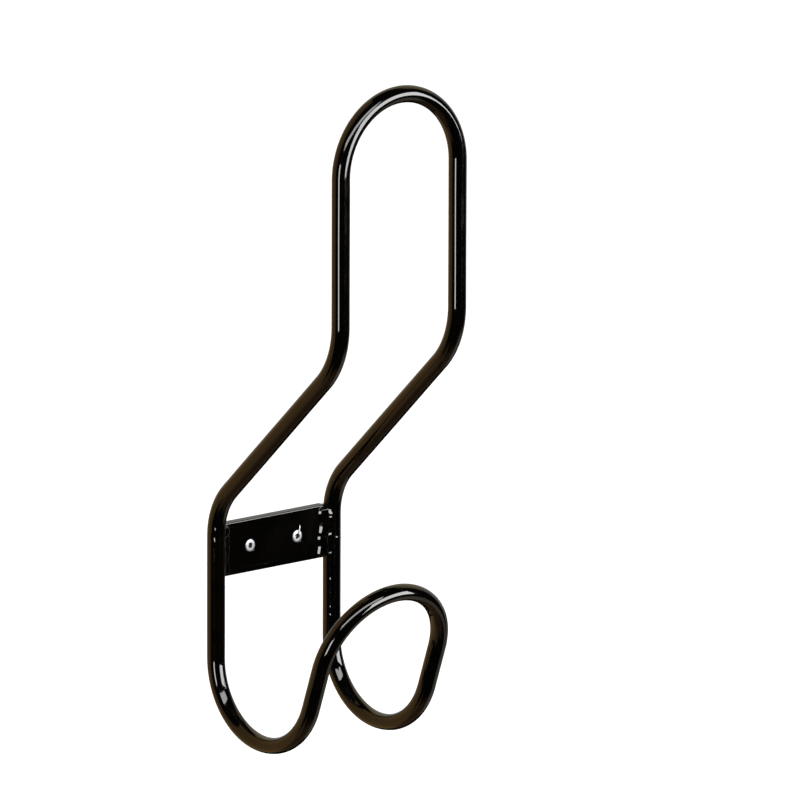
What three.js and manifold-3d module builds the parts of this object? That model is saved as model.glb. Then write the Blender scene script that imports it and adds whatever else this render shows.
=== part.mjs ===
// Wall rack for a riding helmet and a bridle: two bent tubes form one closed frame, a flat
// wall plate is welded between its legs, and two screws hold the plate to the wall.
//
// Frame: millimetres, X to the right, Z up, and -Y away from the wall. The origin is the
// middle of the wall plate's back face, so the wall is the plane Y = 0.

import * as THREE from 'three';
import { mergeVertices } from 'three/addons/utils/BufferGeometryUtils.js';
import Module from 'manifold-3d';

// ---------------------------------------------------------------- driving dimensions

const FIT_GAP = 0.3; // clearance between solids that touch

const TUBE_R = 7; // 12 mm steel tube with a 1 mm plastic coating
const BORE_R = 4.5;
const LEG_SPACING = 118; // between the two legs' centre lines

const PLATE_HEIGHT = 42;
const PLATE_THICKNESS = 8;
const PLATE_EDGE_R = 1;
const HOLE_SPACING = 48;
const HOLE_R = 2.8;

const LEG_TOP_Z = 13; // where the upper tube starts to bend away from the wall
const LEG_BOTTOM_Z = -84; // where the lower tube starts to turn up
const JOINT_Z = -6; // the two tubes meet here, beside the plate

const KNEE_R = 53; // bend from the leg into the slope
const SLOPE_DEG = 46.5; // slope's angle from vertical
const SLOPE_LENGTH = 153;
const SHOULDER_R = 65; // bend from the slope into the helmet hoop
const HOOP_STRAIGHT = 115;

const HOOK_R = 58.5; // U bend under each leg
const RISER_LEAN_DEG = 19.5; // lean of the bridle loop away from the wall
const RISER_LENGTH = 35;
const BEND_FLATTENING = 0.1; // tight bends lose this share of the tube's thickness

const SPIGOT_R = 4.1;
const SPIGOT_LENGTH = 36;

const SCREW_LENGTH = 40;
const SCREW_HEAD_R = 4.8;
const SCREW_HEAD_HEIGHT = 2.9;
const SCREW_SHANK_R = 2.4;
const SCREW_POINT_LENGTH = 6;
const RECESS_WIDTH = 5;
const RECESS_DEPTH = 2.1;
const RECESS_SLOT = 1.1;

const WELD_R = 5.6; // front bead, whose middle line lies inside the plate
const WELD_INSET = 3;
const WELD_SINK = 1.2;
const WELD_RIPPLES = 9;
const WELD_RIPPLE_SHARE = 0.05;
const REAR_WELD_STOP = 3; // short of the leg's centre line
const JOINT_WELD_WIDTH = 5;
const JOINT_WELD_RISE = 0.8;
const JOINT_WELD_START_DEG = -118; // the rest of the leg is against the plate and the wall
const JOINT_WELD_END_DEG = 60;

// ---------------------------------------------------------------- derived dimensions

const LEG_X = LEG_SPACING / 2;
const AXIS_Y = -PLATE_THICKNESS; // the plate's front face lies on the tubes' centre plane
const SLOPE = THREE.MathUtils.degToRad(SLOPE_DEG);
const RISER_LEAN = THREE.MathUtils.degToRad(RISER_LEAN_DEG);
const PLATE_END_X = LEG_X - TUBE_R - FIT_GAP;

const UP = new THREE.Vector3(0, 0, 1);
const OUT = new THREE.Vector3(0, -1, 0);
const RIGHT = new THREE.Vector3(1, 0, 0);

const CIRCLE_SEGMENTS = 8; // ExtrudeGeometry makes two sides from each
const CUT_MARGIN = 1; // how far a cutter runs past the face it opens
const BEND_STEP = THREE.MathUtils.degToRad(11);

// ---------------------------------------------------------------- materials

const coating = (name) => new THREE.MeshStandardMaterial({
  name,
  color: 0x0b0a0a,
  roughness: 0.16,
  metalness: 0,
});

const bareSteel = new THREE.MeshStandardMaterial({
  name: 'bare_steel',
  color: 0x8c8d90,
  roughness: 0.42,
  metalness: 1,
});

const zincPlate = new THREE.MeshStandardMaterial({
  name: 'zinc_plate',
  color: 0xc9ccd0,
  roughness: 0.3,
  metalness: 1,
});

// ---------------------------------------------------------------- bent tubes

// A tube's centre line: straights and circular bends, each tangent to the one before it.
// Every bend gets stations at an even angle and a straight has them only at its ends.
class BentPath extends THREE.Curve {
  constructor(start, direction) {
    super();
    this.position = start.clone();
    this.direction = direction.clone().normalize();
    this.stations = [{ point: start.clone(), tangent: this.direction.clone() }];
    this.bends = [];
  }

  straight(length) {
    this.position.addScaledVector(this.direction, length);
    this.addStation();
    return this;
  }

  // Turns by angle towards the unit vector side, which is square to the path.
  bend(radius, angle, side, flattening = 0) {
    const forward = this.direction.clone();
    const centre = this.position.clone().addScaledVector(side, radius);
    const outward = side.clone().negate();
    const steps = Math.ceil(angle / BEND_STEP);
    for (let i = 1; i <= steps; i++) {
      const turn = (angle * i) / steps;
      this.position.copy(centre)
        .addScaledVector(outward, radius * Math.cos(turn))
        .addScaledVector(forward, radius * Math.sin(turn));
      this.direction.copy(forward).multiplyScalar(Math.cos(turn))
        .addScaledVector(side, Math.sin(turn));
      this.addStation();
    }
    this.bends.push({ centre, outward, forward, radius, angle, flattening });
    return this;
  }

  addStation() {
    this.stations.push({ point: this.position.clone(), tangent: this.direction.clone() });
  }

  get steps() {
    return this.stations.length - 1;
  }

  between(t, key, target) {
    const place = THREE.MathUtils.clamp(t, 0, 1) * this.steps;
    const index = Math.min(Math.floor(place), this.steps - 1);
    const next = this.stations[index + 1];
    return target.copy(this.stations[index][key]).lerp(next[key], place - index);
  }

  getPoint(t, target = new THREE.Vector3()) {
    return this.between(t, 'point', target);
  }

  getPointAt(t, target) {
    return this.getPoint(t, target);
  }

  getTangentAt(t, target = new THREE.Vector3()) {
    return this.between(t, 'tangent', target).normalize();
  }
}

// In a tight bend the tube goes oval: thinner across the bend, a little wider along its axis.
function flatten(geometry, { centre, outward, forward, radius, angle, flattening }) {
  const axis = outward.clone().cross(forward);
  const positions = geometry.getAttribute('position');
  const point = new THREE.Vector3();
  for (let i = 0; i < positions.count; i++) {
    point.fromBufferAttribute(positions, i).sub(centre);
    const height = point.dot(axis);
    const a = point.dot(outward);
    const b = point.dot(forward);
    const turn = Math.atan2(b, a);
    const reach = Math.hypot(a, b);
    const isOnBend = turn > 0 && turn < angle
      && Math.abs(reach - radius) < 2 * TUBE_R && Math.abs(height) < 2 * TUBE_R;
    if (isOnBend) {
      const share = flattening * Math.sin((Math.PI * turn) / angle);
      const newReach = radius + (reach - radius) * (1 - share);
      point.copy(centre)
        .addScaledVector(outward, newReach * Math.cos(turn))
        .addScaledVector(forward, newReach * Math.sin(turn))
        .addScaledVector(axis, height * (1 + share / 2));
      positions.setXYZ(i, point.x, point.y, point.z);
    }
  }
}

function sweep(section, path) {
  return new THREE.ExtrudeGeometry(section, {
    steps: path.steps,
    extrudePath: path,
    bevelEnabled: false,
    curveSegments: CIRCLE_SEGMENTS,
  });
}

function bentTube(path) {
  const section = new THREE.Shape().absarc(0, 0, TUBE_R, 0, 2 * Math.PI);
  section.holes.push(new THREE.Path().absarc(0, 0, BORE_R, 0, 2 * Math.PI, true));
  const geometry = sweep(section, path);
  path.bends.filter((bend) => bend.flattening > 0).forEach((bend) => flatten(geometry, bend));
  return geometry;
}

// Up the left leg, out along the slope, round the helmet hoop and back down the right side.
function upperTubePath() {
  const aboveSlope = UP.clone().multiplyScalar(Math.sin(SLOPE)).addScaledVector(OUT, -Math.cos(SLOPE));
  const legLength = LEG_TOP_Z - JOINT_Z - FIT_GAP / 2;
  return new BentPath(new THREE.Vector3(-LEG_X, AXIS_Y, JOINT_Z + FIT_GAP / 2), UP)
    .straight(legLength)
    .bend(KNEE_R, SLOPE, OUT)
    .straight(SLOPE_LENGTH)
    .bend(SHOULDER_R, SLOPE, aboveSlope)
    .straight(HOOP_STRAIGHT)
    .bend(LEG_X, Math.PI, RIGHT, BEND_FLATTENING / 2)
    .straight(HOOP_STRAIGHT)
    .bend(SHOULDER_R, SLOPE, OUT.clone().negate())
    .straight(SLOPE_LENGTH)
    .bend(KNEE_R, SLOPE, aboveSlope.clone().negate())
    .straight(legLength);
}

// Down the left leg, up round the hook, over the bridle loop and back by the right hook.
function lowerTubePath() {
  const down = UP.clone().negate();
  const hookTurn = Math.PI - RISER_LEAN;
  const legLength = JOINT_Z - FIT_GAP / 2 - LEG_BOTTOM_Z;
  const riserOut = OUT.clone().multiplyScalar(Math.cos(RISER_LEAN))
    .addScaledVector(UP, -Math.sin(RISER_LEAN));
  return new BentPath(new THREE.Vector3(-LEG_X, AXIS_Y, JOINT_Z - FIT_GAP / 2), down)
    .straight(legLength)
    .bend(HOOK_R, hookTurn, OUT, BEND_FLATTENING)
    .straight(RISER_LENGTH)
    .bend(LEG_X, Math.PI, RIGHT, BEND_FLATTENING)
    .straight(RISER_LENGTH)
    .bend(HOOK_R, hookTurn, riserOut.negate(), BEND_FLATTENING)
    .straight(legLength);
}

// ---------------------------------------------------------------- joining and cutting

const wasm = await Module();
wasm.setup();

function toSolid(geometry) {
  const bare = geometry.clone();
  bare.deleteAttribute('normal');
  bare.deleteAttribute('uv');
  const merged = mergeVertices(bare);
  return new wasm.Manifold(new wasm.Mesh({
    numProp: 3,
    vertProperties: merged.getAttribute('position').array,
    triVerts: Uint32Array.from(merged.index.array),
  }));
}

function toGeometry(solid) {
  const { vertProperties, triVerts } = solid.getMesh();
  const geometry = new THREE.BufferGeometry();
  geometry.setAttribute('position', new THREE.BufferAttribute(vertProperties, 3));
  geometry.setIndex(new THREE.BufferAttribute(triVerts, 1));
  const flatShaded = geometry.toNonIndexed();
  flatShaded.computeVertexNormals();
  return flatShaded;
}

function cut(geometry, cutters) {
  return toGeometry(cutters.reduce((solid, cutter) => solid.subtract(toSolid(cutter)), toSolid(geometry)));
}

// ---------------------------------------------------------------- wall plate

const toSection = (r, y) => new THREE.Vector2(r, y);

// Everything that a countersunk hole takes out, about the Y axis.
function countersink() {
  const frontY = -PLATE_THICKNESS;
  const mouthR = SCREW_HEAD_R + FIT_GAP;
  return new THREE.LatheGeometry([
    toSection(0, frontY - CUT_MARGIN),
    toSection(mouthR, frontY - CUT_MARGIN),
    toSection(mouthR, frontY + FIT_GAP),
    toSection(HOLE_R, frontY + SCREW_HEAD_HEIGHT),
    toSection(HOLE_R, CUT_MARGIN),
    toSection(0, CUT_MARGIN),
  ], 28);
}

function roundedBar(width, height, radius) {
  const x = width / 2;
  const y = height / 2;
  const shape = new THREE.Shape();
  shape.absarc(x - radius, y - radius, radius, 0, Math.PI / 2);
  shape.absarc(radius - x, y - radius, radius, Math.PI / 2, Math.PI);
  shape.absarc(radius - x, radius - y, radius, Math.PI, 1.5 * Math.PI);
  shape.absarc(x - radius, radius - y, radius, 1.5 * Math.PI, 2 * Math.PI);
  return shape;
}

function wallPlate() {
  const bar = new THREE.ExtrudeGeometry(roundedBar(PLATE_THICKNESS, PLATE_HEIGHT, PLATE_EDGE_R), {
    depth: 2 * PLATE_END_X,
    bevelEnabled: false,
    curveSegments: 3,
  });
  const standUp = new THREE.Matrix4().makeBasis(OUT.clone().negate(), UP, RIGHT);
  bar.applyMatrix4(standUp).translate(-PLATE_END_X, -PLATE_THICKNESS / 2, 0);
  const holes = [-1, 1].map((side) => countersink().translate((side * HOLE_SPACING) / 2, 0, 0));
  return cut(bar, holes);
}

// ---------------------------------------------------------------- welds

// A ripple bead laid in the corner between the plate's front face and a leg.
function frontWeld(side) {
  const length = PLATE_HEIGHT - 2 * PLATE_EDGE_R;
  const rows = 4 * WELD_RIPPLES;
  const profile = Array.from({ length: rows - 1 }, (_, row) => {
    const along = (row + 1) / rows;
    const taper = Math.sqrt(Math.sin(Math.PI * along));
    const ripple = 1 + WELD_RIPPLE_SHARE * Math.cos(2 * Math.PI * WELD_RIPPLES * along);
    return toSection(WELD_R * taper * ripple, (along - 0.5) * length);
  });
  const poles = [-0.5, 0.5].map((along) => toSection(0, along * length));
  const bead = new THREE.LatheGeometry([poles[0], ...profile, poles[1]], 18)
    .rotateX(Math.PI / 2)
    .translate(side * (PLATE_END_X - WELD_INSET), AXIS_Y + WELD_SINK, 0);
  const plate = new THREE.BoxGeometry(2 * LEG_X, PLATE_THICKNESS, 2 * PLATE_HEIGHT)
    .translate(0, AXIS_Y / 2 - FIT_GAP, 0);
  const clearance = TUBE_R + FIT_GAP;
  const leg = new THREE.CylinderGeometry(clearance, clearance, 2 * PLATE_HEIGHT, 36)
    .rotateX(Math.PI / 2)
    .translate(side * LEG_X, AXIS_Y, 0);
  const knee = sweep(new THREE.Shape().absarc(0, 0, clearance, 0, 2 * Math.PI), upperTubePath());
  return cut(bead, [plate, leg, knee]);
}

// The groove behind the plate's end, filled and ground flush so that the plate meets the wall.
function rearWeld(side) {
  const reach = TUBE_R + FIT_GAP;
  const innerX = PLATE_END_X + FIT_GAP;
  const outerX = LEG_X - REAR_WELD_STOP;
  const groundY = -FIT_GAP;
  const angleAt = (x) => Math.acos((x - LEG_X) / reach);
  const mirrored = (angle) => (side > 0 ? angle : Math.PI - angle);
  const shape = new THREE.Shape();
  const start = mirrored(angleAt(innerX));
  const end = mirrored(angleAt(outerX));
  shape.absarc(side * LEG_X, AXIS_Y, reach, start, end, side > 0);
  shape.lineTo(side * outerX, groundY);
  shape.lineTo(side * innerX, groundY);
  const height = PLATE_HEIGHT - 2 * PLATE_EDGE_R;
  return new THREE.ExtrudeGeometry(shape, { depth: height, bevelEnabled: false, curveSegments: 5 })
    .translate(0, 0, -height / 2);
}

// The butt weld round the part of a leg that the plate leaves free, above the wall.
function jointWeld(side) {
  const innerR = TUBE_R + FIT_GAP;
  const outerR = TUBE_R + JOINT_WELD_RISE;
  const mirrored = (degrees) => THREE.MathUtils.degToRad(side > 0 ? degrees : 180 - degrees);
  const start = mirrored(JOINT_WELD_START_DEG);
  const end = mirrored(JOINT_WELD_END_DEG);
  const shape = new THREE.Shape();
  shape.absarc(side * LEG_X, AXIS_Y, outerR, start, end, side < 0);
  shape.absarc(side * LEG_X, AXIS_Y, innerR, end, start, side > 0);
  return new THREE.ExtrudeGeometry(shape, {
    depth: JOINT_WELD_WIDTH,
    bevelEnabled: false,
    curveSegments: 12,
  }).translate(0, 0, JOINT_Z - JOINT_WELD_WIDTH / 2);
}

// ---------------------------------------------------------------- spigots and screws

function spigot(side) {
  return new THREE.CylinderGeometry(SPIGOT_R, SPIGOT_R, SPIGOT_LENGTH, 24)
    .rotateX(Math.PI / 2)
    .translate(side * LEG_X, AXIS_Y, JOINT_Z);
}

// A countersunk wood screw with a cross recess, its head flush with the plate's front face.
function wallScrew(side) {
  const frontY = -PLATE_THICKNESS;
  const tipY = frontY + SCREW_LENGTH;
  const body = new THREE.LatheGeometry([
    toSection(0, frontY),
    toSection(SCREW_HEAD_R, frontY),
    toSection(SCREW_HEAD_R, frontY + FIT_GAP),
    toSection(SCREW_SHANK_R, frontY + SCREW_HEAD_HEIGHT),
    toSection(SCREW_SHANK_R, tipY - SCREW_POINT_LENGTH),
    toSection(0, tipY),
  ], 28);
  const slots = [[RECESS_WIDTH, RECESS_SLOT], [RECESS_SLOT, RECESS_WIDTH]].map(([width, height]) => (
    new THREE.BoxGeometry(width, 2 * RECESS_DEPTH, height).translate(0, frontY, 0)
  ));
  return cut(body, slots).translate((side * HOLE_SPACING) / 2, 0, 0);
}

// ---------------------------------------------------------------- assembly

const rack = new THREE.Group();
rack.name = 'helmet_and_bridle_rack';

function addPart(name, geometry, material) {
  const mesh = new THREE.Mesh(geometry, material);
  mesh.name = name;
  rack.add(mesh);
}

addPart('helmet_hoop_tube', bentTube(upperTubePath()), coating('tube_coating'));
addPart('bridle_loop_tube', bentTube(lowerTubePath()), coating('tube_coating'));
addPart('wall_plate', wallPlate(), coating('plate_coating'));

[['left', -1], ['right', 1]].forEach(([word, side]) => {
  addPart(`${word}_front_weld`, frontWeld(side), coating('weld_coating'));
  addPart(`${word}_rear_weld`, rearWeld(side), coating('weld_coating'));
  addPart(`${word}_joint_weld`, jointWeld(side), coating('weld_coating'));
  addPart(`${word}_joint_spigot`, spigot(side), bareSteel);
  addPart(`${word}_wall_screw`, wallScrew(side), zincPlate);
});

export default rack;
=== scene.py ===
import math

import bmesh
import bpy
import numpy as np
from mathutils import Matrix, Vector


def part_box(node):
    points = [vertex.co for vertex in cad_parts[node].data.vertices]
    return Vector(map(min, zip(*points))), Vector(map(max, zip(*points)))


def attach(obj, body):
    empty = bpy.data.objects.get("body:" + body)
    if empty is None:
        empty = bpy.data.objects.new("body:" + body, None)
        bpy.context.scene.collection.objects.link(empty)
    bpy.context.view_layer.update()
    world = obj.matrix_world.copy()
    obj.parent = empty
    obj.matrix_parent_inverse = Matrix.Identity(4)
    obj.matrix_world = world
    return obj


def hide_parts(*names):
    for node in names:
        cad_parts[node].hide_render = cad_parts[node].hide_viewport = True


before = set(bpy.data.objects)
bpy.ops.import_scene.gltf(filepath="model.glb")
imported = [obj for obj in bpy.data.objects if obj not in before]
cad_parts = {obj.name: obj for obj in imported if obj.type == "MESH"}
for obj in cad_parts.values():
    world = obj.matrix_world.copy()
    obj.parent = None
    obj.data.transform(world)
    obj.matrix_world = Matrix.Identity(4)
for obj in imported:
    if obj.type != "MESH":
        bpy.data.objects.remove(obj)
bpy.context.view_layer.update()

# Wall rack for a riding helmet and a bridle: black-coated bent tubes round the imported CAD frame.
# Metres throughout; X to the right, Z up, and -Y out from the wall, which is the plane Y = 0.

BODY = "root"

# ---------------------------------------------------------------- dimensions

PLATE_LO, PLATE_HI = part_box("wall_plate")
JOINT_LO, JOINT_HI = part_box("right_joint_weld")
SPIGOT_LO, SPIGOT_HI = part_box("right_joint_spigot")
SCREW_LO, SCREW_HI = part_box("right_wall_screw")

TUBE_R = 0.007
BORE_R = 0.0045
LEG_X = (SPIGOT_LO.x + SPIGOT_HI.x) / 2
AXIS_Y = PLATE_LO.y
JOINT_Z = (JOINT_LO.z + JOINT_HI.z) / 2

LEG_TOP_Z = 0.013
LEG_BOTTOM_Z = -0.084
KNEE_R = 0.053
SLOPE = math.radians(46.5)
SLOPE_LENGTH = 0.153
SHOULDER_R = 0.065
HOOP_STRAIGHT = 0.115
HOOK_R = 0.0585
RISER_LEAN = math.radians(19.5)
RISER_LENGTH = 0.035
BEND_FLATTENING = 0.1

UP = np.array((0.0, 0.0, 1.0))
OUT = np.array((0.0, -1.0, 0.0))
RIGHT = np.array((1.0, 0.0, 0.0))

# ---------------------------------------------------------------- mesh helpers


def bare_object(name, vertices, faces):
    """A mesh object with its faces turned the right way round, not yet a piece of the rack."""
    mesh = bpy.data.meshes.new(name)
    mesh.from_pydata([tuple(v) for v in vertices], [], [tuple(f) for f in faces])
    work = bmesh.new()
    work.from_mesh(mesh)
    bmesh.ops.recalc_face_normals(work, faces=work.faces)
    work.to_mesh(mesh)
    work.free()
    thing = bpy.data.objects.new(name, mesh)
    bpy.context.scene.collection.objects.link(thing)
    return thing


def finish_piece(piece, material, nodes, crease):
    """Makes an object a piece that rides on the rack; edges sharper than crease degrees stay sharp."""
    piece.data.materials.clear()
    piece.data.materials.append(material)
    piece.data.polygons.foreach_set("use_smooth", [True] * len(piece.data.polygons))
    piece.data.set_sharp_from_angle(angle=math.radians(crease))
    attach(piece, BODY)
    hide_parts(*nodes)


def grid_faces(rows, columns, start=0, wrap=True, flip=False):
    """Quads between rows of points, each row joined to the next; wrap closes every row."""
    faces = []
    for row in range(rows - 1):
        for column in range(columns if wrap else columns - 1):
            following = (column + 1) % columns
            quad = [
                start + row * columns + column,
                start + row * columns + following,
                start + (row + 1) * columns + following,
                start + (row + 1) * columns + column,
            ]
            faces.append(quad[::-1] if flip else quad)
    return faces


def end_caps(rows, sides):
    """The first and last faces of a closed grid."""
    return [tuple(range(sides))[::-1], tuple(range((rows - 1) * sides, rows * sides))]


def circle(radius, y, sides):
    """Points round the Y axis."""
    headings = [2 * math.pi * k / sides for k in range(sides)]
    return [(radius * math.cos(around), y, radius * math.sin(around)) for around in headings]


def turned(profile, sides):
    """A solid of revolution about Y, from (radius, y) points that start and end on the axis."""
    inner = profile[1:-1]
    vertices = [point for radius, y in inner for point in circle(radius, y, sides)]
    faces = grid_faces(len(inner), sides)
    first, last = len(vertices), len(vertices) + 1
    vertices += [(0, profile[0][1], 0), (0, profile[-1][1], 0)]
    end = (len(inner) - 1) * sides
    for k in range(sides):
        following = (k + 1) % sides
        faces.append((first, following, k))
        faces.append((last, end + k, end + following))
    return vertices, faces


SLIVER = 0.000001  # edges shorter than this are closed up after a cut


def boolean(target, cutters, operation="DIFFERENCE"):
    """Cuts or joins the target with plain objects, which are then removed."""
    bpy.context.view_layer.objects.active = target
    for cutter in cutters:
        modifier = target.modifiers.new("cut", "BOOLEAN")
        modifier.operation = operation
        modifier.solver = "EXACT"
        modifier.object = cutter
        bpy.ops.object.modifier_apply(modifier=modifier.name)
        bpy.data.objects.remove(cutter)
    work = bmesh.new()
    work.from_mesh(target.data)
    bmesh.ops.remove_doubles(work, verts=work.verts, dist=SLIVER)
    bmesh.ops.dissolve_degenerate(work, edges=work.edges, dist=SLIVER)
    work.to_mesh(target.data)
    work.free()


# ---------------------------------------------------------------- materials


def shader(name):
    """A new material, its nodes, its links and its Principled shader."""
    material = bpy.data.materials.new(name)
    material.use_nodes = True
    nodes = material.node_tree.nodes
    links = material.node_tree.links
    return material, nodes, links, nodes["Principled BSDF"]


MIX_A, MIX_B, MIX_RESULT = 6, 7, 2  # the colour sockets of a Mix node


def math_node(nodes, links, operation, *values):
    """A sum on sockets and numbers."""
    node = nodes.new("ShaderNodeMath")
    node.operation = operation
    for socket, value in zip(node.inputs, values):
        if isinstance(value, (int, float)):
            socket.default_value = value
        else:
            links.new(value, socket)
    return node.outputs["Value"]


def noise(nodes, links, scale, detail=3.0, roughness=0.5, stretch=None):
    """Noise with scale bumps to a metre of the object; stretch draws it out along an axis."""
    place = nodes.new("ShaderNodeTexCoord")
    texture = nodes.new("ShaderNodeTexNoise")
    texture.inputs["Scale"].default_value = scale
    texture.inputs["Detail"].default_value = detail
    texture.inputs["Roughness"].default_value = roughness
    source = place.outputs["Object"]
    if stretch is not None:
        mapping = nodes.new("ShaderNodeMapping")
        mapping.inputs["Scale"].default_value = stretch
        links.new(source, mapping.inputs["Vector"])
        source = mapping.outputs["Vector"]
    links.new(source, texture.inputs["Vector"])
    return texture.outputs["Fac"]


def ramp(nodes, links, source, low, high, from_low=0.35, from_high=0.65):
    """A colour or grey between low and high, following the source."""
    node = nodes.new("ShaderNodeValToRGB")
    node.color_ramp.elements[0].position = from_low
    node.color_ramp.elements[1].position = from_high
    node.color_ramp.elements[0].color = (*low, 1)
    node.color_ramp.elements[1].color = (*high, 1)
    links.new(source, node.inputs["Fac"])
    return node.outputs["Color"]


def bump(nodes, links, height, distance, below=None):
    """A normal from a height map that rises by distance metres, laid over the normal below."""
    node = nodes.new("ShaderNodeBump")
    node.inputs["Distance"].default_value = distance
    links.new(height, node.inputs["Height"])
    if below is not None:
        links.new(below, node.inputs["Normal"])
    return node.outputs["Normal"]


COATING_DARK, COATING_BROWN = (0.0001, 0.0001, 0.0001), (0.0004, 0.0003, 0.0002)
COATING_GLOSSY, COATING_DULL = 0.045, 0.095  # roughness
COATING_IOR = 1.5
SMEAR_EDGES = (0.46, 0.72)  # noise values between which the gloss turns dull

ZINC_DARK, ZINC_PALE = (0.20, 0.205, 0.215), (0.36, 0.365, 0.37)
ZINC_SMOOTH, ZINC_ROUGH = 0.28, 0.46
ZINC_METALLIC = 0.85
ZINC_BUMP = 0.00002
# Painted shade, with some grime, darkens the bottom of the screw's recess.
RECESS_SHADE_AND_GRIME = (0.03, 0.028, 0.026)
RECESS_SHADE_STARTS = (0.0003, 0.0012)  # depths below the screw's face where the painted shade and grime in the recess begin
RECESS_SHADE_ENDS = (0.0032, 0.0028)  # and where they end and the unshaded shank begins

STEEL_BRIGHT, STEEL_RUST = (0.42, 0.42, 0.43), (0.34, 0.27, 0.22)
STEEL_SMOOTH, STEEL_ROUGH = 0.28, 0.5
STEEL_BUMP = 0.00003
RUST_EDGES = (0.5, 0.8)  # noise values between which bright steel turns to rust


def grey(value):
    """An even colour."""
    return (value, value, value)


def gloss_coating(name, peel, wave):
    """Thick black dip coating: deep gloss, a slow wave, fine orange peel and a few dull smears."""
    material, nodes, links, principled = shader(name)
    tone = noise(nodes, links, 60, detail=4)
    colour = ramp(nodes, links, tone, COATING_DARK, COATING_BROWN)
    links.new(colour, principled.inputs["Base Color"])
    smear = noise(nodes, links, 38, detail=6, roughness=0.62, stretch=(1.0, 1.0, 0.45))
    dull = ramp(nodes, links, smear, grey(COATING_GLOSSY), grey(COATING_DULL), *SMEAR_EDGES)
    links.new(dull, principled.inputs["Roughness"])
    principled.inputs["IOR"].default_value = COATING_IOR
    swells = noise(nodes, links, 130, detail=1, roughness=0.4)
    grain = noise(nodes, links, 900, detail=2)
    slow = bump(nodes, links, swells, wave)
    links.new(bump(nodes, links, grain, peel, below=slow), principled.inputs["Normal"])
    return material


def zinc():
    """Bright zinc plate: pale and slightly blotchy, with painted shade and some grime darkening the bottom
    of the recess.
    """
    material, nodes, links, principled = shader("zinc_plate")
    blotch = noise(nodes, links, 900, detail=4)
    colour = ramp(nodes, links, blotch, ZINC_DARK, ZINC_PALE)
    place = nodes.new("ShaderNodeTexCoord")
    split = nodes.new("ShaderNodeSeparateXYZ")
    links.new(place.outputs["Object"], split.inputs["Vector"])
    limits = []
    for unshaded_depth, shaded_depth in (RECESS_SHADE_STARTS, RECESS_SHADE_ENDS):
        limit = nodes.new("ShaderNodeMapRange")
        limit.inputs["From Min"].default_value = SCREW_LO.y + unshaded_depth
        limit.inputs["From Max"].default_value = SCREW_LO.y + shaded_depth
        links.new(split.outputs["Y"], limit.inputs["Value"])
        limits.append(limit.outputs["Result"])
    # Painted shade and grime: the recess is darkened between the two depths.
    shaded_recess = nodes.new("ShaderNodeMix")
    shaded_recess.data_type = "RGBA"
    shaded_recess.inputs[MIX_B].default_value = (*RECESS_SHADE_AND_GRIME, 1)
    links.new(math_node(nodes, links, "MULTIPLY", *limits), shaded_recess.inputs["Factor"])
    links.new(colour, shaded_recess.inputs[MIX_A])
    links.new(shaded_recess.outputs[MIX_RESULT], principled.inputs["Base Color"])
    principled.inputs["Metallic"].default_value = ZINC_METALLIC
    rough = ramp(nodes, links, noise(nodes, links, 1800), grey(ZINC_SMOOTH), grey(ZINC_ROUGH))
    links.new(rough, principled.inputs["Roughness"])
    links.new(bump(nodes, links, noise(nodes, links, 3200), ZINC_BUMP), principled.inputs["Normal"])
    return material


def drawn_steel():
    """Bare drawn steel with fine lines along the rod and a little rust bloom."""
    material, nodes, links, principled = shader("bare_steel")
    lines = noise(nodes, links, 1400, stretch=(1.0, 1.0, 0.04))
    patches = noise(nodes, links, 260, detail=5)
    bloom = ramp(nodes, links, patches, STEEL_BRIGHT, STEEL_RUST, *RUST_EDGES)
    links.new(bloom, principled.inputs["Base Color"])
    principled.inputs["Metallic"].default_value = 1.0
    rough = ramp(nodes, links, lines, grey(STEEL_SMOOTH), grey(STEEL_ROUGH))
    links.new(rough, principled.inputs["Roughness"])
    links.new(bump(nodes, links, lines, STEEL_BUMP), principled.inputs["Normal"])
    return material


# The thin coat on the drawn tubes is the smoothest, and the coat over the weld beads the roughest.
TUBE_COATING = gloss_coating("tube_coating", peel=0.0000007, wave=0.000005)
PLATE_COATING = gloss_coating("plate_coating", peel=0.000002, wave=0.00002)
WELD_COATING = gloss_coating("weld_coating", peel=0.000004, wave=0.00003)
ZINC = zinc()
STEEL = drawn_steel()

# ---------------------------------------------------------------- bent tubes

TUBE_SIDES = 64
BEND_STEP = math.radians(1.6)
STRAIGHT_STEP = 0.0025
LEG_STEP = 0.0008
SLOW_WAVE, FAST_WAVE, OVAL = 0.000006, 0.000003, 0.00003  # unevenness of the coating, as radius

HANG_MARK = (0.0400, -0.1484, -0.0389)  # where the rack hung on a hook while the coating set
HANG_DENT = (0.0028, 0.0016, -0.0042)  # from the hang mark's nib to the dent beside it
SPATTER_SEED = 5
SPATTER_COUNT = 26
SPATTER_HEADINGS = (70, 250)
SPATTER_HEIGHTS = (0.00004, 0.0001)
SPATTER_WIDTHS = (0.0008, 0.0014)


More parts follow.
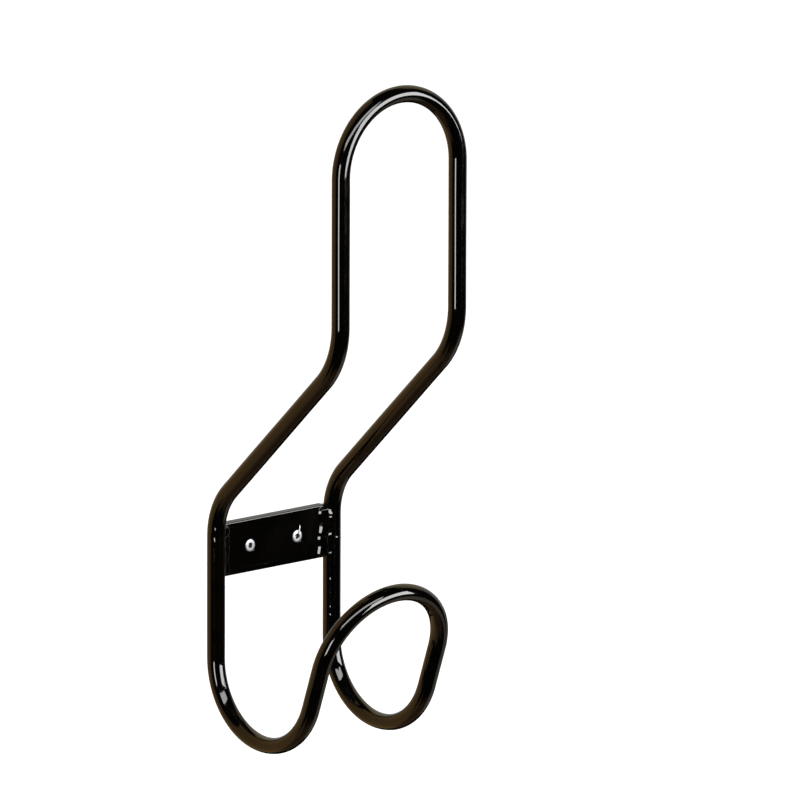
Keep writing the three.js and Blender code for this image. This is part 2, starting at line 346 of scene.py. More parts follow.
class BentPath:
    """Stations along a tube's centre line, each with its own square frame and flattening."""

    def __init__(self, start, direction, side):
        self.point = np.array(start, float)
        self.direction = np.array(direction, float)
        self.normal = np.array(side, float)
        self.length = 0.0
        self.stations = []
        self.add(0.0, self.normal)

    def add(self, share, outward):
        """Notes a station; share is how far the tube is flattened along outward there."""
        binormal = np.cross(self.direction, self.normal)
        self.stations.append((self.point.copy(), self.normal.copy(), binormal, outward, share, self.length))

    def straight(self, length, step=STRAIGHT_STEP):
        """Goes straight on for a length."""
        steps = max(1, round(length / step))
        start, run = self.point.copy(), self.length
        for i in range(1, steps + 1):
            self.point = start + self.direction * (length * i / steps)
            self.length = run + length * i / steps
            self.add(0.0, self.normal)
        return self

    def bend(self, radius, angle, side, flattening=0.0):
        """Turns by an angle towards side, most flattened halfway round."""
        side = np.array(side, float)
        forward, start_normal, run = self.direction.copy(), self.normal.copy(), self.length
        centre = self.point + side * radius
        axis = np.cross(forward, side)
        steps = math.ceil(angle / BEND_STEP)
        for i in range(1, steps + 1):
            turn = angle * i / steps
            cos, sin = math.cos(turn), math.sin(turn)
            outward = -side * cos + forward * sin
            self.point = centre + outward * radius
            self.direction = forward * cos + side * sin
            along_axis = axis * np.dot(start_normal, axis)
            self.normal = (
                (start_normal - along_axis) * cos + np.cross(axis, start_normal) * sin + along_axis
            )
            self.length = run + radius * turn
            self.add(flattening * math.sin(math.pi * i / steps), outward)
        return self


def coating_wave(run, around):
    """Slow unevenness of the dip coating, as a change of radius."""
    return (
        SLOW_WAVE * math.sin(run * 610 + 1.3 * math.sin(around + run * 90))
        + FAST_WAVE * math.sin(run * 1130 + 2 * around)
        + OVAL * math.cos(2 * around + run * 47)
    )


def tube_mesh(path, nibs):
    """A hollow tube along the path; each nib is (place, height, width) of a bump in the coating."""
    outer, inner = [], []
    for point, normal, binormal, outward, share, run in path.stations:
        axis = np.cross(outward, np.cross(normal, binormal))
        close = [nib for nib in nibs if np.linalg.norm(nib[0] - point) < 2 * TUBE_R]
        for k in range(TUBE_SIDES):
            around = 2 * math.pi * k / TUBE_SIDES
            spoke = normal * math.cos(around) + binormal * math.sin(around)
            squeezed = spoke - outward * (share * np.dot(spoke, outward))
            squeezed = squeezed + axis * (share / 2 * np.dot(spoke, axis))
            radius = TUBE_R + coating_wave(run, around)
            for place, height, width in close:
                apart = np.sum((point + squeezed * TUBE_R - place) ** 2)
                radius += height * math.exp(-apart / width**2)
            outer.append(point + squeezed * radius)
            inner.append(point + squeezed * BORE_R)
    rows = len(path.stations)
    offset = len(outer)
    faces = grid_faces(rows, TUBE_SIDES) + grid_faces(rows, TUBE_SIDES, offset, flip=True)
    for row in (0, rows - 1):
        for k in range(TUBE_SIDES):
            a = row * TUBE_SIDES + k
            b = row * TUBE_SIDES + (k + 1) % TUBE_SIDES
            ring = (a, a + offset, b + offset, b)
            faces.append(ring if row else ring[::-1])
    return outer + inner, faces


def upper_path():
    """From the left joint up the leg, out along the slope, over the hoop and down the right side."""
    above_slope = UP * math.sin(SLOPE) - OUT * math.cos(SLOPE)
    leg = LEG_TOP_Z - JOINT_Z
    return (
        BentPath((-LEG_X, AXIS_Y, JOINT_Z), UP, OUT)
        .straight(leg, LEG_STEP)
        .bend(KNEE_R, SLOPE, OUT)
        .straight(SLOPE_LENGTH)
        .bend(SHOULDER_R, SLOPE, above_slope)
        .straight(HOOP_STRAIGHT)
        .bend(LEG_X, math.pi, RIGHT, BEND_FLATTENING / 2)
        .straight(HOOP_STRAIGHT)
        .bend(SHOULDER_R, SLOPE, -OUT)
        .straight(SLOPE_LENGTH)
        .bend(KNEE_R, SLOPE, -above_slope)
        .straight(leg)
    )


def lower_path():
    """From the left joint down the leg, round the hook, along the front loop and up the right side."""
    riser_out = OUT * math.cos(RISER_LEAN) - UP * math.sin(RISER_LEAN)
    leg = JOINT_Z - LEG_BOTTOM_Z
    turn = math.pi - RISER_LEAN
    return (
        BentPath((-LEG_X, AXIS_Y, JOINT_Z), -UP, OUT)
        .straight(leg, LEG_STEP)
        .bend(HOOK_R, turn, OUT, BEND_FLATTENING)
        .straight(RISER_LENGTH)
        .bend(LEG_X, math.pi, RIGHT, BEND_FLATTENING)
        .straight(RISER_LENGTH)
        .bend(HOOK_R, turn, -riser_out, BEND_FLATTENING)
        .straight(leg, LEG_STEP)
    )


def leg_nib(side, heading, z, height, width):
    """A nib on a leg, at a heading round it: 0 faces away from the wall and +90 faces right."""
    a = math.radians(heading)
    spoke = np.array((math.sin(a), -math.cos(a), 0))
    bent = max(0.0, z - LEG_TOP_Z) ** 2 / (2 * KNEE_R)
    return np.array((side * LEG_X, AXIS_Y - bent, z)) + TUBE_R * spoke, height, width


def drips():
    """Nibs where the dip coating ran down the legs and hung, and spatter round their backs."""
    nibs = [
        leg_nib(-1, -40, 0.0183, 0.00060, 0.0024),
        leg_nib(-1, -40, 0.0097, 0.00026, 0.0024),
        leg_nib(1, -44, -0.0387, 0.00022, 0.0009),
        leg_nib(1, -44, -0.0500, 0.00008, 0.0008),
        leg_nib(1, -44, -0.0610, 0.00017, 0.0008),
        leg_nib(1, -44, -0.0674, 0.00020, 0.0009),
        leg_nib(1, -36, -0.0133, 0.00024, 0.0012),
        leg_nib(1, -34, -0.0200, 0.00020, 0.0010),
        leg_nib(1, -30, -0.0270, 0.00012, 0.0009),
        (np.array(HANG_MARK), 0.00045, 0.0017),
        (np.array(HANG_MARK) + HANG_DENT, -0.00020, 0.0012),
    ]
    draw = np.random.default_rng(SPATTER_SEED)
    for _ in range(SPATTER_COUNT):
        side = draw.choice((-1, 1))
        heading = draw.uniform(*SPATTER_HEADINGS)
        z = draw.uniform(LEG_BOTTOM_Z, LEG_TOP_Z)
        height = draw.uniform(*SPATTER_HEIGHTS)
        nibs.append(leg_nib(side, heading, z, height, draw.uniform(*SPATTER_WIDTHS)))
    return nibs


def build_tubes():
    """Both tubes; every nib that isn't close to a tube leaves it as it is."""
    for node, path in (("helmet_hoop_tube", upper_path()), ("bridle_loop_tube", lower_path())):
        vertices, faces = tube_mesh(path, drips())
        tube = bare_object(node + "_coated", vertices, faces)
        finish_piece(tube, TUBE_COATING, (node,), crease=40)


# ---------------------------------------------------------------- wall plate

PLATE_EDGE_R = 0.0008
PLATE_EDGE_STEPS = 8
PLATE_X_STEP = 0.0022
PLATE_Z_STEP = 0.0006
HOLE_R = 0.0028
HEAD_R = (SCREW_HI.x - SCREW_LO.x) / 2
HEAD_HEIGHT = 0.0029
SCREW_X = (SCREW_LO.x + SCREW_HI.x) / 2
COUNTERSINK_R = HEAD_R + 0.0002
COUNTERSINK_LIP = 0.0004  # how far the coating rounds off the countersink's rim
COUNTERSINK_RIM = 0.00005
COUNTERSINK_DEPTH = HEAD_HEIGHT + 0.0004
COUNTERSINK_SIDES = 64
CUT_MARGIN = 0.002
SAG_Z = -0.0172
SAG_RISE = 0.0001
SAG_WIDTH = 0.0013
SAG_REACH = 0.0001  # only points this close to the front face sag


def rounded_outline(low, high, radius, steps):
    """Points round a rectangle in the YZ plane with round corners."""
    points = []
    corners = ((high[0], high[1], 0), (low[0], high[1], 90), (low[0], low[1], 180), (high[0], low[1], 270))
    for y, z, start in corners:
        cy = y - math.copysign(radius, y - (low[0] + high[0]) / 2)
        cz = z - math.copysign(radius, z - (low[1] + high[1]) / 2)
        for i in range(steps + 1):
            angle = math.radians(start + 90 * i / steps)
            points.append((cy + radius * math.cos(angle), cz + radius * math.sin(angle)))
    return points


def spread(points, step):
    """Adds points along the long sides of a closed outline."""
    dense = []
    for (ay, az), (by, bz) in zip(points, points[1:] + points[:1]):
        pieces = max(1, round(math.hypot(by - ay, bz - az) / step))
        dense += [(ay + (by - ay) * i / pieces, az + (bz - az) * i / pieces) for i in range(pieces)]
    return dense


def coating_sag(x, z):
    """Thickening where the dipped coating ran down and stopped above the plate's bottom edge."""
    line = SAG_Z + 0.0006 * math.sin(x * 60) + 0.0003 * math.sin(x * 170)
    thinning = 0.55 + 0.45 * math.cos((x + 0.02) * 38)
    return SAG_RISE * thinning * math.exp(-(((z - line) / SAG_WIDTH) ** 2))


def countersink(side):
    """A cutter for one of the plate's holes, with a softly rounded rim."""
    face_y, back_y = PLATE_LO.y, PLATE_HI.y
    rim = COUNTERSINK_R + COUNTERSINK_LIP
    profile = [
        (0, face_y - CUT_MARGIN),
        (rim, face_y - CUT_MARGIN),
        (rim, face_y - COUNTERSINK_RIM),
        (COUNTERSINK_R + 0.4 * COUNTERSINK_LIP, face_y + 0.3 * COUNTERSINK_LIP),
        (COUNTERSINK_R, face_y + COUNTERSINK_LIP),
        (HOLE_R, face_y + COUNTERSINK_DEPTH),
        (HOLE_R, back_y + CUT_MARGIN),
        (0, back_y + CUT_MARGIN),
    ]
    points, faces = turned(profile, COUNTERSINK_SIDES)
    return bare_object("hole", [(x + side * SCREW_X, y, z) for x, y, z in points], faces)


def build_plate():
    """The flat bar with softly rounded edges, the coating's sag and two countersunk holes."""
    low, high = (PLATE_LO.y, PLATE_LO.z), (PLATE_HI.y, PLATE_HI.z)
    outline = spread(rounded_outline(low, high, PLATE_EDGE_R, PLATE_EDGE_STEPS), PLATE_Z_STEP)
    rows = round((PLATE_HI.x - PLATE_LO.x) / PLATE_X_STEP) + 1
    vertices = []
    for row in range(rows):
        x = PLATE_LO.x + (PLATE_HI.x - PLATE_LO.x) * row / (rows - 1)
        vertices += [(x, y - coating_sag(x, z) * (y < PLATE_LO.y + SAG_REACH), z) for y, z in outline]
    faces = grid_faces(rows, len(outline)) + end_caps(rows, len(outline))
    plate = bare_object("wall_plate_coated", vertices, faces)
    for side in (-1, 1):
        boolean(plate, [countersink(side)])
    finish_piece(plate, PLATE_COATING, ("wall_plate",), crease=24)


# ---------------------------------------------------------------- welds

LUMP_WIDTHS = (0.0011, 0.0026)

FRONT_WELD_LENGTH = 0.040
FRONT_WELD_ROWS = 170
FRONT_WELD_ROOT = 0.0007
FRONT_WELD_TOE = 0.0058
FRONT_WELD_CLIMB = 0.82  # how far round the leg the bead reaches, in radians
FRONT_WELD_END = 0.0030  # length over which an end of the bead is rounded off
FRONT_WELD_TIP = 0.02  # size of the last ring, as a share of the full section
FRONT_WELD_LEAN = 0.0004
FRONT_WELD_LUMPS = 5
WELD_SEEDS = {"left": 41, "right": 7}
RIDGE_HEIGHTS = (-0.0005, 0.0007)
CLIMB_CHANGES = (-0.06, 0.14)
FLANK_ANGLE = math.radians(53)
FLANK_WIDTH = 0.0019
FLANK_POINTS = 8
CROWN_POINTS = 30
CROWN_START = 0.0016  # how far the crown is drawn on in the flank's direction
# Where the torch paused, as (height along the bead, spread of the toe, width).
PAUSES = {
    "right": ((-0.0205, 0.0024, 0.0090), (-0.0055, 0.0017, 0.0048), (0.0145, 0.0010, 0.0032)),
    "left": ((-0.0160, 0.0014, 0.0050), (-0.0020, 0.0012, 0.0060), (0.0130, 0.0014, 0.0070)),
}
# How a bead meets the leg: the right one bulges, the left one runs smoothly onto the tube.
CROWNS = {"right": (0.0034, 0.0004), "left": (0.0016, -0.0015)}

REAR_WELD_ROWS, REAR_WELD_COLUMNS = 40, 14
REAR_WELD_GAP = 0.0001
GRINDING_HOLLOW = 0.00003

JOINT_ROWS, JOINT_COLUMNS = 28, 96
# Where the joint weld starts and ends round the leg; 0 faces away from the plate, -90 from the wall.
JOINT_START, JOINT_END = math.radians(-118), math.radians(60)
JOINT_DEPTH = 0.0006
JOINT_SINK = 0.00003  # how far the weld's edges lie below the coating of the leg
JOINT_CROWNS = {"right": 0.00016, "left": 0.00003}  # rise of the dressed weld above its edges
JOINT_WANDER = 0.0004


def lumps(seed, low, high, smallest, largest):
    """Seeded soft lumps along a bead, as (place, height, width)."""
    draw = np.random.default_rng(seed)
    return [
        (draw.uniform(low, high), draw.uniform(smallest, largest), draw.uniform(*LUMP_WIDTHS))
        for _ in range(FRONT_WELD_LUMPS)
    ]


def swell(place, bumps):
    """How much all the lumps add together at a place along the bead."""
    return sum(height * math.exp(-(((place - at) / width) ** 2)) for at, height, width in bumps)


def bead_section(toe, climb, rise, lean, crown):
    """Half of a bead's section, as points (from the leg's axis towards the plate, out from its face)."""
    start = np.array((TUBE_R + toe, 0.0))
    slope = np.array((-math.cos(FLANK_ANGLE), math.sin(FLANK_ANGLE)))
    shoulder = start + FLANK_WIDTH * slope
    finish = TUBE_R * np.array((math.cos(climb), math.sin(climb)))
    first = shoulder + CROWN_START * slope
    second = finish + np.array((crown[0], crown[1] + rise + lean))
    points = [start + (shoulder - start) * i / FLANK_POINTS for i in range(FLANK_POINTS)]
    for i in range(CROWN_POINTS + 1):
        t = i / CROWN_POINTS
        weights = ((1 - t) ** 3, 3 * t * (1 - t) ** 2, 3 * t * t * (1 - t), t**3)
        points.append(sum(w * p for w, p in zip(weights, (shoulder, first, second, finish))))
    return points


def build_front_weld(word, side):
    """A fat bead under the coating, steep where it meets the plate and rounded onto the leg's bulge."""
    seed = WELD_SEEDS[word]
    half = FRONT_WELD_LENGTH / 2
    ridges = lumps(seed, -half, half, *RIDGE_HEIGHTS)
    climbs = lumps(seed + 2, -half, half, *CLIMB_CHANGES)
    corner = np.array((TUBE_R, 0.0))
    inside = (
        TUBE_R * np.array((math.cos(FRONT_WELD_CLIMB), math.sin(FRONT_WELD_CLIMB))) * 0.9,
        np.array((TUBE_R - FRONT_WELD_ROOT, -FRONT_WELD_ROOT)),
    )
    vertices = []
    for row in range(FRONT_WELD_ROWS):
        along = row / (FRONT_WELD_ROWS - 1)
        z = (along - 0.5) * FRONT_WELD_LENGTH
        end = min(along, 1 - along) * FRONT_WELD_LENGTH
        rounding = math.sqrt(max(0.0, 1 - max(0.0, 1 - end / FRONT_WELD_END) ** 2))
        taper = FRONT_WELD_TIP + (1 - FRONT_WELD_TIP) * rounding
        toe = FRONT_WELD_TOE + swell(z, PAUSES[word])
        climb = FRONT_WELD_CLIMB + swell(z, climbs)
        lean = FRONT_WELD_LEAN * math.sin(z * 330 + 0.7 * seed)
        profile = bead_section(toe, climb, swell(z, ridges), lean, CROWNS[word])
        root = profile[0] + (0.0, -FRONT_WELD_ROOT)
        loop = [corner + taper * (point - corner) for point in (*profile, *inside, root)]
        vertices += [(side * (LEG_X - u), AXIS_Y - v, z) for u, v in loop]
    columns = len(vertices) // FRONT_WELD_ROWS
    faces = grid_faces(FRONT_WELD_ROWS, columns) + end_caps(FRONT_WELD_ROWS, columns)
    weld = bare_object(word + "_front_weld_bead", vertices, faces)
    finish_piece(weld, WELD_COATING, (word + "_front_weld",), crease=70)


def build_rear_weld(word, side):
    """The groove behind the plate's end, filled and ground flush, with faint grinding hollows."""
    low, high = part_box(word + "_rear_weld")
    inner_x, outer_x = sorted((abs(low.x), abs(high.x)))
    across = [
        inner_x + (outer_x - inner_x) * column / (REAR_WELD_COLUMNS - 1)
        for column in range(REAR_WELD_COLUMNS)
    ]
    vertices = []
    for row in range(REAR_WELD_ROWS):
        z = low.z + (high.z - low.z) * row / (REAR_WELD_ROWS - 1)
        for x in across:
            uneven = 1 + math.sin(z * 310 + 1.3 * side) * math.cos(z * 173 + x * 390)
            vertices.append((side * x, high.y - GRINDING_HOLLOW * uneven, z))
        for x in reversed(across):
            rise = math.sqrt(max(0.0, (TUBE_R + REAR_WELD_GAP) ** 2 - (x - LEG_X) ** 2))
            vertices.append((side * x, AXIS_Y + rise, z))
    around = 2 * REAR_WELD_COLUMNS
    faces = grid_faces(REAR_WELD_ROWS, around) + end_caps(REAR_WELD_ROWS, around)
    weld = bare_object(word + "_rear_weld_ground", vertices, faces)
    finish_piece(weld, WELD_COATING, (word + "_rear_weld",), crease=50)


def build_joint_weld(word, side):
    """The dressed butt weld round a leg: a low uneven crown that fades out at its edges."""
    low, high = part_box(word + "_joint_weld")
    rows, columns = JOINT_ROWS, JOINT_COLUMNS
    crown, root = [], []
    for row in range(rows):
        along = row / (rows - 1)
        band = math.sin(math.pi * along) ** 2
        for column in range(columns):
            share = column / (columns - 1)
            around = JOINT_START + (JOINT_END - JOINT_START) * share
            fade = min(1.0, 9 * min(share, 1 - share))
            uneven = 0.75 + 0.25 * math.sin(around * 11 + 3 * along) * math.cos(around * 4.3 + 1)
            rise = JOINT_CROWNS[word] * band * fade * uneven
            z = low.z + (high.z - low.z) * along + JOINT_WANDER * math.sin(around * 3.1 + side)
            for points, radius in ((crown, TUBE_R - JOINT_SINK + rise), (root, TUBE_R - JOINT_DEPTH)):
                x = side * (LEG_X + radius * math.cos(around))
                points.append((x, AXIS_Y + radius * math.sin(around), z))
    under = len(crown)
    faces = grid_faces(rows, columns, wrap=False) + grid_faces(rows, columns, under, wrap=False, flip=True)
    for row in range(rows - 1):
        for column in (0, columns - 1):
            a, b = row * columns + column, (row + 1) * columns + column
            strip = (a, b, b + under, a + under)
            faces.append(strip if column == 0 else strip[::-1])
    for column in range(columns - 1):
        for row in (0, rows - 1):
            a = row * columns + column
            strip = (a, a + under, a + 1 + under, a + 1)
            faces.append(strip if row == 0 else strip[::-1])
    weld = bare_object(word + "_joint_weld_crown", crown + root, faces)
    finish_piece(weld, WELD_COATING, (word + "_joint_weld",), crease=60)


# ---------------------------------------------------------------- screws

SCREW_SIDES = 72
SCREW_STEP = 0.00022
THREAD_PITCH = 0.0022
THREAD_HEIGHT = 0.0006
THREAD_FLANK = 0.24  # half the ridge's foot, as a share of the pitch
SHANK_R = 0.0018
PLAIN_SHANK = 0.010
PLAIN_SHANK_SWELL = 0.35 * THREAD_HEIGHT
POINT_LENGTH = 0.0075
POINT_TAPER = 0.8
TIP_LENGTH = 0.0002

FACE_DEPTH = 0.00002  # of the head's middle
# The head's rim, as (share of the head's radius, depth).
HEAD_PROFILE = (
    (0.30, 0.00001),
    (0.60, 0.00002),
    (0.80, 0.00006),
    (0.90, 0.00014),
    (0.97, 0.00032),
    (1.0, 0.0006),
    (0.985, 0.0008),
)
NECK_R = SHANK_R + 0.0002

CUT_ABOVE = 0.0004
# The round middle of the cross recess, as (radius, depth).
SOCKET_PROFILE = ((0, -CUT_ABOVE), (0.0024, -CUT_ABOVE), (0.0021, 0.0006), (0.0013, 0.0023), (0, 0.0028))
SOCKET_SIDES = 40
WING_HALF_LENGTH = 0.0023
WING_HALF_WIDTH = 0.00062
WING_DEPTH = 0.0021
WING_TOP_SHARE, WING_FOOT_SHARE = 1.08, 0.42

BURR_ROWS, BURR_SIDES = 26, 10
BURR_START = (0.0006, 0.0022)
BURR_REACH = (0.0016, 0.0062)
BURR_CURL = 0.0006
BURR_RADIUS = 0.00062
BURR_TIP_RADIUS = 0.00002
BURR_RISE = 0.00012  # its middle above the screw's face
BURR_FLATNESS = 0.4


def screw_profile_radius(y, around):
    """Radius of the threaded shank at a place along it and round it."""
    depth = y - (SCREW_LO.y + HEAD_HEIGHT + PLAIN_SHANK)
    tip = SCREW_HI.y - y
    if depth < 0:
        return SHANK_R + PLAIN_SHANK_SWELL
    core = SHANK_R * min(1.0, (max(tip, 0.0) / POINT_LENGTH) ** POINT_TAPER)
    phase = ((y / THREAD_PITCH - around / (2 * math.pi)) % 1.0) - 0.5
    ridge = max(0.0, 1 - abs(phase) / THREAD_FLANK)
    grow = min(1.0, depth / THREAD_PITCH, max(tip, 0.0) / (0.5 * POINT_LENGTH))
    return core + THREAD_HEIGHT * ridge * grow


def cross_recess(turn):
    """A cutter for a bar of the cross recess: a tapered wedge through the middle of the head."""
    cos, sin = math.cos(turn), math.sin(turn)
    top = (SCREW_LO.y - CUT_ABOVE, WING_TOP_SHARE)
    foot = (SCREW_LO.y + WING_DEPTH, WING_FOOT_SHARE)
    points = []
    for y, share in (top, foot):
        length = WING_HALF_LENGTH * share
        width = WING_HALF_WIDTH * (0.6 + 0.4 * share)
        for x, z in ((-length, -width), (length, -width), (length, width), (-length, width)):
            points.append((x * cos - z * sin, y, x * sin + z * cos))
    faces = [(0, 1, 2, 3), (7, 6, 5, 4)] + [(i, (i + 1) % 4, (i + 1) % 4 + 4, i + 4) for i in range(4)]
    return bare_object("wing", points, faces)


def raised_burr():
    """A thin curl of zinc raised by the driver, from the recess's rim up past the head's edge."""
    points = []
    for row in range(BURR_ROWS):
        along = row / (BURR_ROWS - 1)
        x = BURR_START[0] + BURR_REACH[0] * along + BURR_CURL * math.sin(3 * along)
        z = BURR_START[1] + BURR_REACH[1] * along
        swelling = math.sin(math.pi * min(1.0, 0.12 + 0.88 * along)) ** 0.7
        thick = BURR_RADIUS * swelling + BURR_TIP_RADIUS
        for k in range(BURR_SIDES):
            around = 2 * math.pi * k / BURR_SIDES
            y = SCREW_LO.y - BURR_RISE + BURR_FLATNESS * thick * math.sin(around)
            points.append((x + thick * math.cos(around), y, z))
    faces = grid_faces(BURR_ROWS, BURR_SIDES) + end_caps(BURR_ROWS, BURR_SIDES)
    return bare_object("burr", points, faces)


def build_screw(word, side, turn, burr):
    """A zinc-plated wood screw: domed rim, countersunk cone, cross recess, helical thread and point."""
    face, neck = SCREW_LO.y, SCREW_LO.y + HEAD_HEIGHT
    rings = [(HEAD_R * share, face + depth) for share, depth in HEAD_PROFILE] + [(NECK_R, neck)]
    steps = int((SCREW_HI.y - TIP_LENGTH - neck) / SCREW_STEP)
    shank = [neck + SCREW_STEP * i for i in range(1, steps)]
    vertices = [(0, face + FACE_DEPTH, 0)]
    for radius, y in rings:
        vertices += circle(radius, y, SCREW_SIDES)
    for y in shank:
        for k in range(SCREW_SIDES):
            around = 2 * math.pi * k / SCREW_SIDES
            radius = screw_profile_radius(y, around)
            vertices.append((radius * math.cos(around), y, radius * math.sin(around)))
    vertices.append((0, SCREW_HI.y, 0))
    rows = len(rings) + len(shank)
    faces = grid_faces(rows, SCREW_SIDES, 1)
    tip, end = len(vertices) - 1, 1 + (rows - 1) * SCREW_SIDES
    for k in range(SCREW_SIDES):
        following = (k + 1) % SCREW_SIDES
        faces.append((0, 1 + following, 1 + k))
        faces.append((tip, end + k, end + following))
    screw = bare_object(word + "_wall_screw_threaded", vertices, faces)
    socket, sheets = turned([(radius, face + depth) for radius, depth in SOCKET_PROFILE], SOCKET_SIDES)
    wings = [cross_recess(turn), cross_recess(turn + math.pi / 2)]
    boolean(screw, wings + [bare_object("socket", socket, sheets)])
    if burr:
        boolean(screw, [raised_burr()], "UNION")
    screw.data.transform(Matrix.Translation((side * SCREW_X, 0, 0)))
    finish_piece(screw, ZINC, (word + "_wall_screw",), crease=28)


# ---------------------------------------------------------------- carried CAD nodes


def dress_spigots():
    """The inner spigots are seen only through cuts, so the CAD solids are kept and given real steel."""
    for word in ("left", "right"):
        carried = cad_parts[word + "_joint_spigot"].data.materials
        carried.clear()
        carried.append(STEEL)


build_tubes()
build_plate()
for label, hand in (("left", -1), ("right", 1)):
    build_front_weld(label, hand)
    build_rear_weld(label, hand)
    build_joint_weld(label, hand)
build_screw("left", -1, turn=math.radians(12), burr=False)
build_screw("right", 1, turn=math.radians(38), burr=True)
dress_spigots()

# ---------------------------------------------------------------- floor, light and camera

FLOOR_Z = -1.4
FLOOR_HALF = 40.0
FLOOR_DARK, FLOOR_PALE = 0.93, 0.96
FLOOR_ROUGHNESS = 0.9

# The camera's angles are in degrees.
CAMERA_AZIMUTH = -40.8
CAMERA_ELEVATION = 12.9
CAMERA_ROLL = 0.18
CAMERA_DISTANCE = 12.0
CAMERA_CLIP = (1.0, 200.0)
SENSOR_WIDTH = 36  # mm
VIEW_WIDTH = 0.6205
TARGET_RIGHT = 0.0975
TARGET_Z = 0.1125

LIGHT_DISTANCE = 5.0
LIGHT_FOCUS_Z = -0.08
PALE_STRENGTH = 1.1
ROOM_DARK = (0.012, 0.010, 0.008)
# Each patch of the room: azimuth, elevation, half width, half height and softness in degrees.
ROOM_PATCHES = (
    ((-150, 0, 40, 85, 5), (0.60, 0.36, 0.14)),  # tan wall behind the left side
    ((-92, -60, 20, 18, 6), (0.42, 0.26, 0.12)),  # the wall's foot
    ((0, -82, 180, 20, 9), (0.20, 0.12, 0.06)),  # floor close by
    ((74, -47, 28, 14, 6), (0.48, 0.40, 0.31)),  # floor lit from the right
    ((128, 34, 44, 16, 6), (0.72, 0.60, 0.36)),  # wall above, behind the right side
    ((139, 5, 40, 14, 4), (0.52, 0.50, 0.48)),  # wall straight behind
    ((93, -6, 6, 26, 3), (0.60, 0.56, 0.54)),  # edge of the wall at the right
)


def build_floor():
    """A plain pale floor well below the rack, which glossy surfaces don't mirror."""
    mesh = bpy.data.meshes.new("floor")
    corners = [(-1, -1), (1, -1), (1, 1), (-1, 1)]
    mesh.from_pydata([(x * FLOOR_HALF, y * FLOOR_HALF, FLOOR_Z) for x, y in corners], [], [(0, 1, 2, 3)])
    floor = bpy.data.objects.new("floor", mesh)
    bpy.context.scene.collection.objects.link(floor)
    material, nodes, links, principled = shader("pale_floor")
    tone = ramp(nodes, links, noise(nodes, links, 3), grey(FLOOR_DARK), grey(FLOOR_PALE))
    links.new(tone, principled.inputs["Base Color"])
    principled.inputs["Roughness"].default_value = FLOOR_ROUGHNESS
    principled.inputs["Specular IOR Level"].default_value = 0.0
    mesh.materials.append(material)
    floor.visible_glossy = False
    # One-sided, so that a view from below looks through it at the rack.
    side = nodes.new("ShaderNodeNewGeometry").outputs["Backfacing"]
    clear = nodes.new("ShaderNodeBsdfTransparent")
    surface = nodes.new("ShaderNodeMixShader")
    links.new(side, surface.inputs["Fac"])
    links.new(principled.outputs["BSDF"], surface.inputs[1])
    links.new(clear.outputs["BSDF"], surface.inputs[2])
    links.new(surface.outputs["Shader"], nodes["Material Output"].inputs["Surface"])


def toward(azimuth, elevation):
    """Unit vector from the rack; azimuth 0 is straight out from the wall and +90 is to the right."""
    a, e = math.radians(azimuth), math.radians(elevation)
    return Vector((math.sin(a) * math.cos(e), -math.cos(a) * math.cos(e), math.sin(e)))


def soft_box(name, left, right, bottom, top, radiance, colour, roll=0):
    """A bright panel between two azimuths and two elevations, seen from the middle of the rack."""
    middle = toward((left + right) / 2, (bottom + top) / 2)
    light = bpy.data.lights.new(name, "AREA")
    light.shape = "RECTANGLE"
    light.size = 2 * LIGHT_DISTANCE * math.tan(math.radians(right - left) / 2)
    light.size_y = 2 * LIGHT_DISTANCE * math.tan(math.radians(top - bottom) / 2)
    light.color = colour
    light.energy = radiance * math.pi * light.size * light.size_y
    lamp = bpy.data.objects.new(name, light)
    lamp.location = Vector((0, AXIS_Y, LIGHT_FOCUS_Z)) + middle * LIGHT_DISTANCE
    lamp.rotation_mode = "QUATERNION"
    spin = Matrix.Rotation(math.radians(roll), 3, "Z").to_quaternion()
    lamp.rotation_quaternion = middle.to_track_quat("Z", "Y") @ spin
    lamp.visible_camera = False
    bpy.context.scene.collection.objects.link(lamp)


def build_lights():
    """Three soft boxes: their reflections are the long highlights on the tubes."""
    soft_box("tall_window", left=-71, right=-59, bottom=-10.8, top=11,
             radiance=13, colour=(1.0, 0.98, 0.95))
    soft_box("wide_bank", left=6, right=49, bottom=-6.5, top=25,
             radiance=13, colour=(0.99, 0.99, 1.0))
    soft_box("overhead_bank", left=-58, right=8, bottom=33, top=49,
             radiance=8, colour=(1.0, 0.99, 0.98), roll=9)


def glow_patch(nodes, links, direction, azimuth, elevation, half_width, half_height, softness):
    """How far a direction lies inside a soft-edged patch of the room, from 0 to 1."""
    flat = nodes.new("ShaderNodeVectorMath")
    flat.operation = "MULTIPLY"
    flat.inputs[1].default_value = (1, 1, 0)
    links.new(direction, flat.inputs[0])
    unit = nodes.new("ShaderNodeVectorMath")
    unit.operation = "NORMALIZE"
    links.new(flat.outputs["Vector"], unit.inputs[0])
    along = nodes.new("ShaderNodeVectorMath")
    along.operation = "DOT_PRODUCT"
    along.inputs[1].default_value = toward(azimuth, 0)
    links.new(unit.outputs["Vector"], along.inputs[0])
    split = nodes.new("ShaderNodeSeparateXYZ")
    links.new(direction, split.inputs["Vector"])
    across = math_node(nodes, links, "ARCCOSINE", along.outputs["Value"])
    climb = math_node(nodes, links, "ARCSINE", split.outputs["Z"])
    off = math_node(nodes, links, "SUBTRACT", climb, math.radians(elevation))
    height = math_node(nodes, links, "ABSOLUTE", off)
    edges = []
    for angle, half in ((across, half_width), (height, half_height)):
        edge = nodes.new("ShaderNodeMapRange")
        edge.interpolation_type = "SMOOTHSTEP"
        edge.inputs["From Min"].default_value = math.radians(half + softness)
        edge.inputs["From Max"].default_value = math.radians(half - softness)
        links.new(angle, edge.inputs["Value"])
        edges.append(edge.outputs["Result"])
    return math_node(nodes, links, "MULTIPLY", *edges)


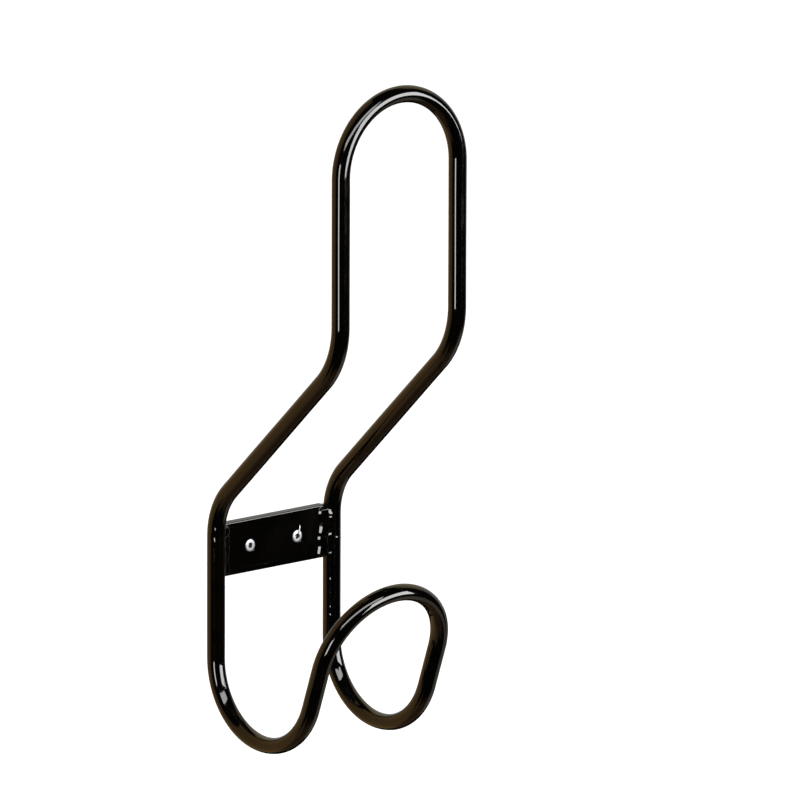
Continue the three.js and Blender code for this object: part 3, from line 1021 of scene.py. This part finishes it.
def build_world():
    """White to the camera and to soft light; gloss sees a dark room with a tan wall and dim panels."""
    world = bpy.data.worlds.new("studio")
    bpy.context.scene.world = world
    world.use_nodes = True
    nodes, links = world.node_tree.nodes, world.node_tree.links
    direction = nodes.new("ShaderNodeTexCoord").outputs["Generated"]
    colour = None
    for patch, tint in ROOM_PATCHES:
        share = glow_patch(nodes, links, direction, *patch)
        mix = nodes.new("ShaderNodeMix")
        mix.data_type = "RGBA"
        mix.inputs[MIX_A].default_value = (*ROOM_DARK, 1)
        mix.inputs[MIX_B].default_value = (*tint, 1)
        links.new(share, mix.inputs["Factor"])
        if colour is not None:
            links.new(colour, mix.inputs[MIX_A])
        colour = mix.outputs[MIX_RESULT]
    room = nodes.new("ShaderNodeBackground")
    links.new(colour, room.inputs["Color"])
    pale = nodes.new("ShaderNodeBackground")
    pale.inputs["Color"].default_value = (1, 1, 1, 1)
    pale.inputs["Strength"].default_value = PALE_STRENGTH
    path = nodes.new("ShaderNodeLightPath")
    choice = nodes.new("ShaderNodeMixShader")
    links.new(path.outputs["Is Glossy Ray"], choice.inputs["Fac"])
    links.new(pale.outputs["Background"], choice.inputs[1])
    links.new(room.outputs["Background"], choice.inputs[2])
    links.new(choice.outputs["Shader"], nodes["World Output"].inputs["Surface"])


def build_camera():
    """A long lens from the front left and a little above, turned slightly about its own axis."""
    back = toward(CAMERA_AZIMUTH, CAMERA_ELEVATION)
    heading = math.radians(CAMERA_AZIMUTH)
    right = Vector((math.cos(heading), math.sin(heading), 0))
    target = right * TARGET_RIGHT + Vector((0, AXIS_Y, TARGET_Z))
    data = bpy.data.cameras.new("camera")
    data.sensor_width = SENSOR_WIDTH
    data.lens = SENSOR_WIDTH * CAMERA_DISTANCE / VIEW_WIDTH
    data.clip_start, data.clip_end = CAMERA_CLIP
    camera = bpy.data.objects.new("camera", data)
    camera.location = target + back * CAMERA_DISTANCE
    camera.rotation_mode = "QUATERNION"
    roll = Matrix.Rotation(math.radians(CAMERA_ROLL), 3, "Z").to_quaternion()
    camera.rotation_quaternion = back.to_track_quat("Z", "Y") @ roll
    bpy.context.scene.collection.objects.link(camera)
    bpy.context.scene.camera = camera


build_floor()
build_world()
build_lights()
build_camera()
bpy.context.scene.view_settings.view_transform = "Standard"
